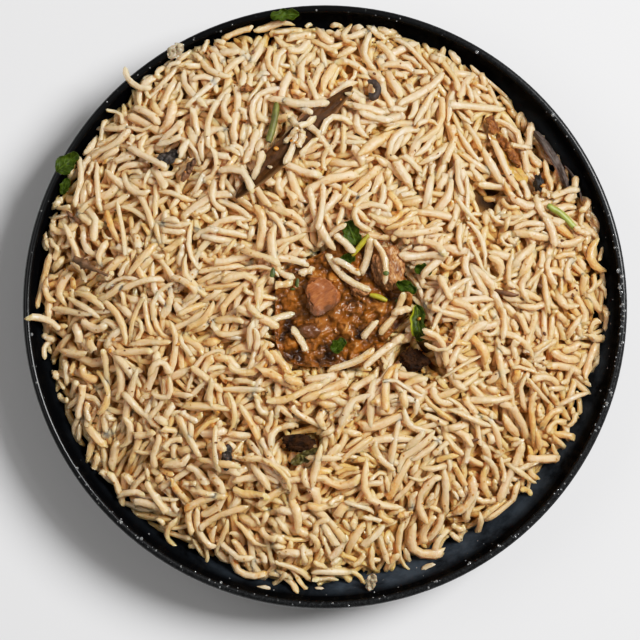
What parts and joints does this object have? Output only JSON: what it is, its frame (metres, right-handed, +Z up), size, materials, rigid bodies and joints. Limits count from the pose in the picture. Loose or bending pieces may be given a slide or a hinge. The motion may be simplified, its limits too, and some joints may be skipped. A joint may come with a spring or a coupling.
{
  "type": "plate of chicken pulao",
  "caption": "Round walled black plate heaped with long-grain chicken pulao: masala and chicken in the middle, bay leaf, spices, fried onion and herbs on the rice.",
  "frame": {"origin": "centre of the plate's foot, on the table", "axes": "+Z up, +X to the diner's right and +Y away from the diner, with the bark at the right and the bay leaf at the far left"},
  "size_m": [0.21, 0.21, 0.0488],
  "materials": {
    "black_glaze": "gloss",
    "rice": "satin",
    "masala": "gloss",
    "chicken": "satin",
    "chicken_deep": "satin",
    "bay_leaf": "satin",
    "coriander": "satin",
    "green_stalk": "satin",
    "bark": "matte",
    "dark_curl": "matte",
    "clove": "matte",
    "fried_onion": "satin",
    "soft_onion": "satin",
    "dark_spice": "matte",
    "cardamom": "matte",
    "burnt_spice": "matte"
  },
  "bodies": {
    "root": {"plate": "black_glaze", "rice": "rice", "masala": "masala", "chicken_main": "chicken", "chicken_pulled": "chicken", "chicken_lobe": "chicken", "chicken_shred": "chicken", "chicken_side": "chicken_deep", "chicken_low": "chicken_deep", "bay_leaf": "bay_leaf", "herb_top": "coriander", "herb_inner": "coriander", "herb_right_a": "coriander", "herb_right_b": "coriander", "herb_fold": "coriander", "herb_low": "coriander", "herb_lip_left": "coriander", "herb_wall_left": "coriander", "herb_lip_top": "coriander", "stalk_left": "green_stalk", "stalk_right": "green_stalk", "stem_top": "green_stalk", "stem_mid": "green_stalk", "bark_curl": "bark", "spice_curl": "dark_curl", "clove": "clove", "onion_top": "fried_onion", "onion_strip": "fried_onion", "brown_bit": "fried_onion", "onion_lip": "soft_onion", "onion_wall": "soft_onion", "husk_left": "dark_spice", "husk_stem": "dark_spice", "husk_low": "dark_spice", "cardamom": "cardamom", "burnt_bit": "burnt_spice"}
  },
  "joints": []
}
